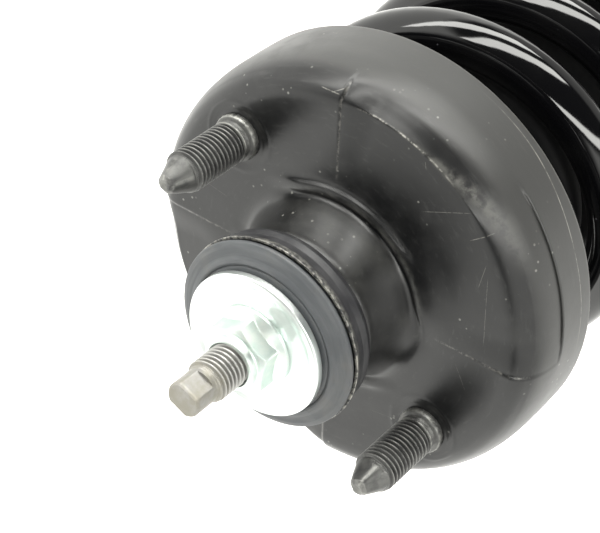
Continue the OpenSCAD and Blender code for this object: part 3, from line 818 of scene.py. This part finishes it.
prof = rounded(
    [
        (5.05, 25.8), (13.4, 25.8), (14.8, 26.05, 0.5), (16.4, 26.6, 0.5), (17.2, 27, 0.3),
        (17.2, 28.6, 0.35), (16.6, 28.88, 0.35), (15.6, 28.8, 0.4), (14.5, 28.32, 0.5),
        (13.9, 28.2, 0.3), (5.05, 28.2),
    ],
    seg=6,
)
piece("top_washer_visual", lathe(prof, 288), "upper_mount", mat_zinc, ("top_washer",), sharp=30)

# rod nut: flange, chamfered hexagon, collar
n = 288
a = np.arange(n) / n * TAU
af, roll = 15.0, math.radians(8)
hexr = af / 2 / np.cos(((a - roll) % (TAU / 6)) - TAU / 12)
corner_r = af / 2 / math.cos(math.pi / 6)
z0 = 28.2
rows = []
seq = [(0.0, 9.55), (0.15, 9.72), (0.35, 9.8), (0.9, 9.8), (1.1, 9.72), (1.25, 9.5)]
for dz, r in seq:
    rows.append(np.full(n, r))
zz = [z0 + dz for dz, _ in seq]
for dz in np.linspace(1.4, 2.4, 8):
    cone = 9.5 - (dz - 1.25) * 1.45
    rows.append(np.maximum(hexr, cone))
    zz.append(z0 + dz)
for dz in np.linspace(2.6, 5.6, 6):
    rows.append(hexr)
    zz.append(z0 + dz)
for dz in np.linspace(5.7, 6.8, 16):
    ch = af / 2 - 0.15 + (6.8 - dz) / math.tan(math.radians(32))
    rows.append(np.minimum(hexr, ch))
    zz.append(z0 + dz)
for r, dz in ((6.9, 6.83), (6.62, 6.9), (6.45, 7.15), (6.35, 8.2), (6.15, 8.65), (5.85, 8.8), (5.35, 8.8), (5.0, 8.4), (4.96, 6.0), (4.96, 0.0)):
    rows.append(np.full(n, r))
    zz.append(z0 + dz)
rows = np.array(rows)
zz = np.array(zz)
pts = np.stack([rows * np.cos(a), rows * np.sin(a), np.repeat(zz[:, None], n, 1)], -1)
piece("rod_nut_visual", rows_mesh(pts, loop=True), "upper_mount", mat_nut, ("rod_nut",), sharp=28)

# -------------------------------------------------------------------- rod

n = 128
a = np.arange(n) / n * TAU
flat_az = math.radians(110)
zs = np.concatenate(
    [
        [-236.0, -235.6, -210.4, -210.0, -209.6, -7.2, -6.7, -6.3, -6.25],
        np.linspace(-6.0, 33.0, 14),
        np.linspace(33.1, 48.6, 240),
        [48.70, 48.80, 48.86],
        np.linspace(49.0, 53.9, 12),
        [54.15, 54.33, 54.4],
    ]
)
rows, wears = [], []
for z in zs:
    wz = np.zeros(n)
    if z <= -210.05:
        r = np.full(n, 3.7 if z <= -235.9 else 4.0)
    elif z <= -6.29:
        r = np.full(n, {-210.0: 5.2, -209.6: 6.0, -7.2: 6.0, -6.7: 5.8, -6.3: 5.3}.get(float(z), 6.0))
    elif z <= 33.0:
        r = np.full(n, 4.95)
    elif z <= 48.61:
        amp = smooth(z, 33.0, 34.2) * smooth(z, 47.3, 46.5)
        crest = thread_profile(z / 1.25 - a / TAU)
        r = 4.22 + 0.73 * crest * amp
        if z < 34.2:
            r = r * smooth(z, 33.0, 34.2) + 4.95 * smooth(z, 34.2, 33.0)
        r = np.where(z > 46.2, np.minimum(r, 4.98 - (z - 46.2) * 0.55), r)
        r = np.maximum(r, 4.08)
        wz = 0.8 * smooth(crest, 0.7, 0.95) * amp
    else:
        r = np.full(n, 4.08)
    if z >= 48.78:
        c = np.abs(np.cos(a - flat_az))
        r = np.minimum(r, 3.25 / np.maximum(c, 1e-3))
    if z > 53.95:
        r = r * (1 - (z - 53.95) * 0.24)
    rows.append(np.stack([r * np.cos(a), r * np.sin(a), np.full(n, z)], -1))
    wears.append(wz)
v, f = rows_mesh(rows, start=(0, 0, -236.0), end=(0, 0, 54.4))
v[:, 2] -= 2.1 + 0.5 * smooth(v[:, 2], 40, 52)
piece(
    "piston_rod_visual", (v, f), "upper_mount", mat_rod, ("piston_rod",),
    sharp=40, attrs={"wear_and_sheen": np.concatenate([np.concatenate(wears), [0.0, 0.0]])},
)

# ----------------------------------------------------------------- spring

COIL_R, WIRE_R, PITCH, END_P, TURNS, START, TOP_Z = 40.3, 6.0, 24.3, 24.3, 9.75, 14.0, -21.0
OPEN = (END_P + PITCH) / 2 + PITCH * (TURNS - 2)


def drop(s):
    s = np.asarray(s, float)
    u = s - TURNS + 1
    return np.where(
        s < 1,
        END_P * s + (PITCH - END_P) * s * s / 2,
        np.where(s < TURNS - 1, (END_P + PITCH) / 2 + PITCH * (s - 1), OPEN + PITCH * u - (PITCH - END_P) * u * u / 2),
    )


LOW_Z = TOP_Z - float(drop(TURNS))
SEAT_Z = LOW_Z - WIRE_R - 4.3


def wire_rings(ss, radii, sides):
    b = np.arange(sides) / sides * TAU
    rings = []
    for s, r in zip(ss, radii):
        th = math.radians(START) - TAU * s
        sl = float((drop(s + 1e-3) - drop(s - 1e-3)) / 2e-3)
        up = math.atan(sl / (TAU * COIL_R))
        rad_v = np.array([math.cos(th), math.sin(th), 0.0])
        nor = np.array([math.sin(th) * math.sin(up), -math.cos(th) * math.sin(up), math.cos(up)])
        c = np.array([COIL_R * math.cos(th), COIL_R * math.sin(th), TOP_Z - float(drop(s))])
        rings.append(c + r * (np.cos(b)[:, None] * rad_v + np.sin(b)[:, None] * nor))
    return rings


tip = 0.5 / (TAU * COIL_R)
ss = np.concatenate([[0.0, tip * 0.35, tip], np.linspace(0.004, TURNS - 0.004, 780), [TURNS - tip, TURNS - tip * 0.35, TURNS]])
rr = np.concatenate([[5.4, 5.8, 6.0], np.full(780, WIRE_R), [6.0, 5.8, 5.4]])
rings = wire_rings(ss, rr, 40)
c0, c1 = np.mean(rings[0], 0), np.mean(rings[-1], 0)
spring = piece(
    "coil_spring_visual", rows_mesh(rings, start=c0, end=c1), "upper_mount", mat_spring,
    ("coil_spring",), sharp=40,
)
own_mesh(spring)

# -------------------------------------------------------------- dust boot

CAP_Z = -174.1
BZ1, BZ2, BN = -48.1, CAP_Z + 5, 9
step_b = (BZ1 - BZ2) / BN
ctrl_o = [(21.0, -9.1), (22.4, -9.0), (22.75, -10.1), (22.9, -14.1), (22.9, -32.0), (22.9, -44.1), (23.4, -46.5), (25.2, -47.7)]
for i in range(BN):
    zt = BZ1 - i * step_b
    ctrl_o += [
        (26.2, zt - 0.02 * step_b), (28.6, zt - 0.10 * step_b), (31.0, zt - 0.20 * step_b),
        (31.95, zt - 0.34 * step_b), (31.95, zt - 0.48 * step_b), (31.0, zt - 0.62 * step_b),
        (28.6, zt - 0.76 * step_b), (26.5, zt - 0.88 * step_b),
    ]
ctrl_o += [(26.2, BZ2 - 1.5), (26.2, CAP_Z - 4), (26.2, CAP_Z - 8), (26.3, CAP_Z - 10), (26.0, CAP_Z - 11.8), (25.2, CAP_Z - 12.0)]
po = flow(ctrl_o, 4)
nrm = np.gradient(po, axis=0)
nrm = np.stack([nrm[:, 1], -nrm[:, 0]], -1)
nrm /= np.linalg.norm(nrm, axis=1)[:, None]
if nrm[len(nrm) // 3, 0] > 0:
    nrm = -nrm
pi_ = po + nrm * 1.2
pi_[:, 1] = np.clip(pi_[:, 1], CAP_Z - 12.0, -9.0)
prof = np.vstack([po, pi_[::-1]])
boot = piece("dust_boot_visual", lathe(prof, 176), "upper_mount", mat_boot, ("dust_boot",), sharp=50)
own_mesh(boot)

# ------------------------------------------------------------- insulators


def insulator(upper):
    n = 360
    a = np.arange(n) / n * TAU
    lo_r, hi_r = (27.0, 47.0) if upper else (33.6, 45.0)
    rs = np.linspace(lo_r, hi_r, 44)
    R, Aa = np.meshgrid(rs, a, indexing="ij")
    turns = ((math.radians(START) - Aa) / TAU) % 1.0
    if upper:
        face = np.interp(R, [27, 43.0, 44.8, 46.2, 47.0], [-2.85, -2.85, -3.8, -5.4, -6.7])
        flat = np.full_like(R, TOP_Z + WIRE_R + 0.1)
        s = turns
        zc = TOP_Z - drop(s)
    else:
        end_az = math.radians(START) - TAU * TURNS
        s = ((Aa - end_az) / TAU) % 1.0
        zc = LOW_Z + drop(s)
        face = np.full_like(R, SEAT_Z + 0.02)
        flat = np.full_like(R, SEAT_Z + 4.0)
    d = R - COIL_R
    half = 5.8
    inside = np.abs(d) < half
    arch = np.sqrt(np.maximum(6.12**2 - d**2, 0))
    lim = 0.40
    if upper:
        touch = zc + np.maximum(arch, 3.2)
        ramp = np.where(inside & (s < lim), np.minimum(flat, touch), flat)
        back = face
        rows = np.concatenate([ramp, back[::-1]], 0)
    else:
        touch = zc - np.maximum(arch, 3.2)
        ramp = np.where(inside & (s < lim), np.maximum(flat, touch), flat)
        rows = np.concatenate([ramp, face[::-1]], 0)
    RR = np.concatenate([R, R[::-1]], 0)
    AA = np.concatenate([Aa, Aa[::-1]], 0)
    pts = np.stack([RR * np.cos(AA), RR * np.sin(AA), rows], -1)
    return rows_mesh(pts, loop=True)


piece("upper_insulator_visual", insulator(True), "upper_mount", mat_rubber, ("upper_insulator",), sharp=45)
piece("lower_insulator_visual", insulator(False), "damper_body", mat_rubber, ("lower_insulator",), sharp=45)

# ------------------------------------------------------ lower seat, damper


def weld_ring(r, z, size, seed, n=420):
    """A hand-laid weld bead round the tube."""
    a = np.arange(n) / n * TAU
    ripple = 0.16 * np.abs(np.sin(a * r / 1.1)) + wobble(a, seed, 0.16)
    b = np.arange(14) / 14 * TAU
    rows = []
    for bb in b:
        rr = r + (size + ripple) * math.cos(bb) * 0.9
        zz = z + (size + ripple) * math.sin(bb) + wobble(a, seed + 1, 0.12)
        rows.append(np.stack([rr * np.cos(a), rr * np.sin(a), zz], -1))
    return rows_mesh(rows, loop=True)


s = SEAT_Z
prof = rounded(
    [
        (22.6, s, 0.3), (45.3, s, 0.8), (47.4, s + 1.2, 1.2), (48.2, s + 6.6, 0.6), (49.0, s + 7.0, 0.5),
        (51.0, s + 6.9, 0.4), (50.2, s - 0.2, 1.6), (47.0, s - 2.6, 2.4), (30.4, s - 2.6, 2.5),
        (27.2, s - 4.2, 1.5), (25.3, s - 7.5, 2.0), (25.0, s - 20.0, 0.5), (22.6, s - 20.0, 0.3),
    ],
    seg=8,
)
prof = np.array([p for p in prof])
geo = join(lathe(prof, 256), weld_ring(24.0, s - 20.1, 1.25, 11))
piece("lower_spring_seat_visual", geo, "damper_body", mat_coat, ("lower_spring_seat",), sharp=40)

prof = rounded(
    [
        (22.5, CAP_Z - 1.6, 1.0), (22.5, -390.6, 1.4), (21.2, -392.0, 0.8), (20.9, -392.0, 0.1),
        (20.9, CAP_Z - 3.2, 0.6), (14.5, CAP_Z - 3.2, 0.3), (14.5, CAP_Z - 1.6, 0.3),
    ],
    seg=6,
)
geo = join(lathe(prof, 192), weld_ring(21.3, -391.4, 0.55, 23))
piece("damper_tube_visual", geo, "damper_body", mat_tube, ("damper_tube",), sharp=40)


def weld_saddle():
    """The bead that joins the eye ring to the closed end of the tube."""
    n = 260
    a = np.arange(n) / n * TAU
    rows = []
    ripple = 0.15 * np.abs(np.sin(a * 11)) + wobble(a, 31, 0.12)
    # a fillet from the tube's closed end down to the ring of the eye
    for q in np.linspace(0, 1, 9):
        z = -392.0 - 3.6 * q
        rad = 14.6 - 3.2 * math.sin(q * math.pi / 2) + ripple * (1 - q)
        rows.append(np.stack([rad * np.cos(a), np.minimum(rad, 14.8) * np.sin(a), np.full(n, z)], -1))
    low = rows[-1].copy()
    low[:, 2] = -405.0
    low[:, :2] *= 0.96
    rows.append(low)
    return rows_mesh(rows, start=(0, 0, -392.0), end=(0, 0, -405.0))


EYE_Z = -411.0
n = 192
ring_prof = rounded(
    [(14.85, -15.9, 0.25), (18.0, -16.0, 0.6), (18.0, 16.0, 0.6), (14.85, 15.9, 0.25)], seg=5
)
v, f = lathe(ring_prof, n)
ring_geo = (along_y(v, EYE_Z), f)
piece("lower_eye_visual", join(ring_geo, weld_saddle()), "damper_body", mat_coat, ("lower_eye",), sharp=40)

prof = rounded(
    [
        (9.05, -17.6, 0.4), (10.6, -17.9, 0.8), (12.6, -17.2, 0.8), (14.0, -15.4, 0.6), (14.75, -15.4, 0.1),
        (14.75, 15.4, 0.1), (14.0, 15.4, 0.6), (12.6, 17.2, 0.8), (10.6, 17.9, 0.8), (9.05, 17.6, 0.4),
    ],
    seg=5,
)
v, f = lathe(prof, 160)
piece("eye_bush_visual", (along_y(v, EYE_Z), f), "damper_body", mat_rubber, ("eye_bush",), sharp=45)

n = 288
a = np.arange(n) / n * TAU
saw = 0.22 * (np.abs(((a * 36 / TAU) % 1.0) - 0.5) * 2)
rows = []
for r, y, k in (
    (6.1, -20.6, 0), (6.4, -20.95, 1), (8.7, -20.95, 1), (9.0, -20.6, 0),
    (9.0, 20.6, 0), (8.7, 20.95, -1), (6.4, 20.95, -1), (6.1, 20.6, 0),
):
    rows.append(np.stack([r * np.cos(a), r * np.sin(a), y + k * saw], -1))
v, f = rows_mesh(rows, loop=True)
piece("eye_sleeve_visual", (along_y(v, EYE_Z), f), "eye_sleeve_body", mat_zinc, ("eye_sleeve",), sharp=25)

# ---------------------------------------------- CAD nodes shown as they are

shown = {
    "lower_bush": mat_rubber, "bush_sleeve": mat_zinc, "lower_washer": mat_coat,
    "bump_stop_cup": mat_coat, "bump_stop": mat_foam, "rebound_stop": mat_rubber,
    "piston": mat_sinter, "piston_band": mat_liner, "piston_nut": mat_steel,
    "tube_cap": mat_coat, "rod_seal": mat_rubber, "rod_guide": mat_sinter,
    "guide_bush": mat_liner, "inner_cylinder": mat_steel, "base_valve": mat_sinter,
    "tube_base": mat_tube,
}
for node, mat in shown.items():
    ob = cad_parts[node]
    ob.data.materials.clear()
    ob.data.materials.append(mat)
    bev = ob.modifiers.new("bevel", "BEVEL")
    bev.width = 0.00025
    bev.segments = 2
    bev.limit_method = "ANGLE"
    bev.angle_limit = math.radians(40)

# ------------------------------------------------------------------ stage

floor_me = bpy.data.meshes.new("floor")
rings_f = []
for r in (0.001, 0.5, 1.5, 4.0, 9.0):
    q = np.arange(64) / 64 * TAU
    rings_f.append(np.stack([r * np.cos(q), r * np.sin(q), np.full(64, -0.4275)], -1))
fv, ff = rows_mesh(rings_f)
floor_me.from_pydata(fv.tolist(), [], ff)
floor_me.update()
if floor_me.polygons[0].normal.z < 0:
    floor_me.flip_normals()
floor = bpy.data.objects.new("floor", floor_me)
scene.collection.objects.link(floor)
gm = bpy.data.materials.new("floor_pale")
gm.use_nodes = True
fb = gm.node_tree.nodes["Principled BSDF"]
fb.inputs["Base Color"].default_value = (0.86, 0.86, 0.85, 1)
fb.inputs["Roughness"].default_value = 0.9
fb.inputs["Emission Color"].default_value = (1, 1, 1, 1)
fb.inputs["Emission Strength"].default_value = 0.55
floor_me.materials.append(gm)


for ray in ("visible_diffuse", "visible_glossy", "visible_transmission", "visible_shadow"):
    setattr(floor, ray, False)

ROOM, BACK, SOFT = 1.7, 0.6, 11.5

world = bpy.data.worlds.new("studio")
scene.world = world
world.use_nodes = True
wn = world.node_tree
wn.nodes.clear()


def wnode(kind, **props):
    n = wn.nodes.new(kind)
    for k, v in props.items():
        setattr(n, k, v)
    return n


def wput(socket, value):
    if isinstance(value, bpy.types.NodeSocket):
        wn.links.new(value, socket)
    else:
        socket.default_value = value


def wmath(op, a, b=None, c=None):
    n = wnode("ShaderNodeMath", operation=op)
    wput(n.inputs[0], a)
    if b is not None:
        wput(n.inputs[1], b)
    if c is not None:
        wput(n.inputs[2], c)
    return n.outputs[0]


def wstep(x, lo, hi, a=0.0, b=1.0):
    n = wnode("ShaderNodeMapRange", interpolation_type="SMOOTHSTEP")
    wput(n.inputs["Value"], x)
    for k, v in (("From Min", lo), ("From Max", hi), ("To Min", a), ("To Max", b)):
        n.inputs[k].default_value = v
    return n.outputs[0]


# directions as elevation and azimuth in degrees, azimuth counted from -80
wdir = wnode("ShaderNodeSeparateXYZ")
wn.links.new(wnode("ShaderNodeTexCoord").outputs["Generated"], wdir.inputs[0])
dx, dy, dz = wdir.outputs
ca, sa = math.cos(math.radians(80)), math.sin(math.radians(80))
fx = wmath("SUBTRACT", wmath("MULTIPLY", dx, ca), wmath("MULTIPLY", dy, sa))
fy = wmath("ADD", wmath("MULTIPLY", dx, sa), wmath("MULTIPLY", dy, ca))
waz = wmath("DEGREES", wmath("ARCTAN2", fy, fx))
wel = wmath("DEGREES", wmath("ARCSINE", dz))


def strip(points, el_soft=3.0, az_soft=1.5):
    """A tall softbox: (elevation, azimuth, half width) at its knots."""
    el = [p[0] for p in points]
    mid = None
    for (e0, a0, h0), (e1, a1, h1) in zip(points[:-1], points[1:]):
        t = wmath("DIVIDE", wmath("SUBTRACT", wel, e0), e1 - e0)
        inside = wmath("MULTIPLY", wmath("GREATER_THAN", t, 0.0), wmath("LESS_THAN", t, 1.0))
        centre = wmath("MULTIPLY_ADD", t, a1 - a0, a0 + 80.0)
        half = wmath("MULTIPLY_ADD", t, h1 - h0, h0)
        off = wmath("SUBTRACT", wmath("ABSOLUTE", wmath("SUBTRACT", waz, centre)), half)
        one = wmath("MULTIPLY", inside, wstep(off, -az_soft, az_soft, 1.0, 0.0))
        mid = one if mid is None else wmath("MAXIMUM", mid, one)
    ends = wmath("MULTIPLY", wstep(wel, min(el), min(el) + el_soft), wstep(wel, max(el) - el_soft, max(el), 1.0, 0.0))
    return wmath("MULTIPLY", mid, ends)


soft_a = strip([(-8, -115, 2.5), (20, -114, 5), (37, -112, 6), (50, -109, 7), (60, -107, 7.5), (71, -101, 9)])
soft_b = strip([
    (-31, -72, 5.5), (-26, -70.2, 6.4), (-18, -67, 7.9), (-10, -63, 8.2), (-3, -58.7, 8.8), (5, -52.8, 9.2),
    (13, -48.6, 10.4), (20, -45.5, 9.9), (28, -41.8, 9), (36, -36.7, 7), (44, -32, 6.8), (54, -20, 5),
])
soft_c = strip([
    (-41, -49, 8.6), (-29, -41.5, 8.8), (-18, -34.5, 9.2), (-10, -29, 9.2), (-3, -25.3, 9), (5, -21.7, 8),
    (13, -16.2, 7.3), (20, -11.2, 6), (28, -4, 5), (33, 1.2, 4.6), (39, 9, 4),
])
softs = wmath("ADD", wmath("ADD", soft_a, soft_b), soft_c)

# pale room: bright behind and at both sides, dark towards the camera
right = wstep(waz, 58, 70)
left = wstep(waz, -40, -52)
sides = wmath("MAXIMUM", right, left)
roof = wstep(wel, 48, 66, 1.0, 0.0)
behind = wstep(wmath("ABSOLUTE", waz), 80, 150)
lower = wstep(wel, -62, -30)
room = wmath("MULTIPLY", sides, wmath("MAXIMUM", roof, wmath("MULTIPLY", behind, 0.75)))
room = wmath("MULTIPLY", room, wmath("MULTIPLY_ADD", lower, 0.35, 0.65))
level = wmath("MULTIPLY_ADD", room, ROOM, 0.015)
level = wmath("ADD", level, wmath("MULTIPLY", wmath("MULTIPLY", behind, room), BACK))
level = wmath("ADD", level, wmath("MULTIPLY", wstep(wel, -32, -46), 0.55))
level = wmath("ADD", level, wmath("MULTIPLY", softs, SOFT))

wout = wnode("ShaderNodeOutputWorld")
wmix = wnode("ShaderNodeMixShader")
wseen = wnode("ShaderNodeBackground")
wseen.inputs[0].default_value = (1.0, 1.0, 1.0, 1)
wseen.inputs[1].default_value = 1.05
wlit = wnode("ShaderNodeBackground")
wlit.inputs[0].default_value = (1.0, 0.997, 0.955, 1)
wput(wlit.inputs[1], level)
wput(wmix.inputs[0], wnode("ShaderNodeLightPath").outputs["Is Camera Ray"])
wn.links.new(wlit.outputs[0], wmix.inputs[1])
wn.links.new(wseen.outputs[0], wmix.inputs[2])
wn.links.new(wmix.outputs[0], wout.inputs[0])

bpy.context.view_layer.update()
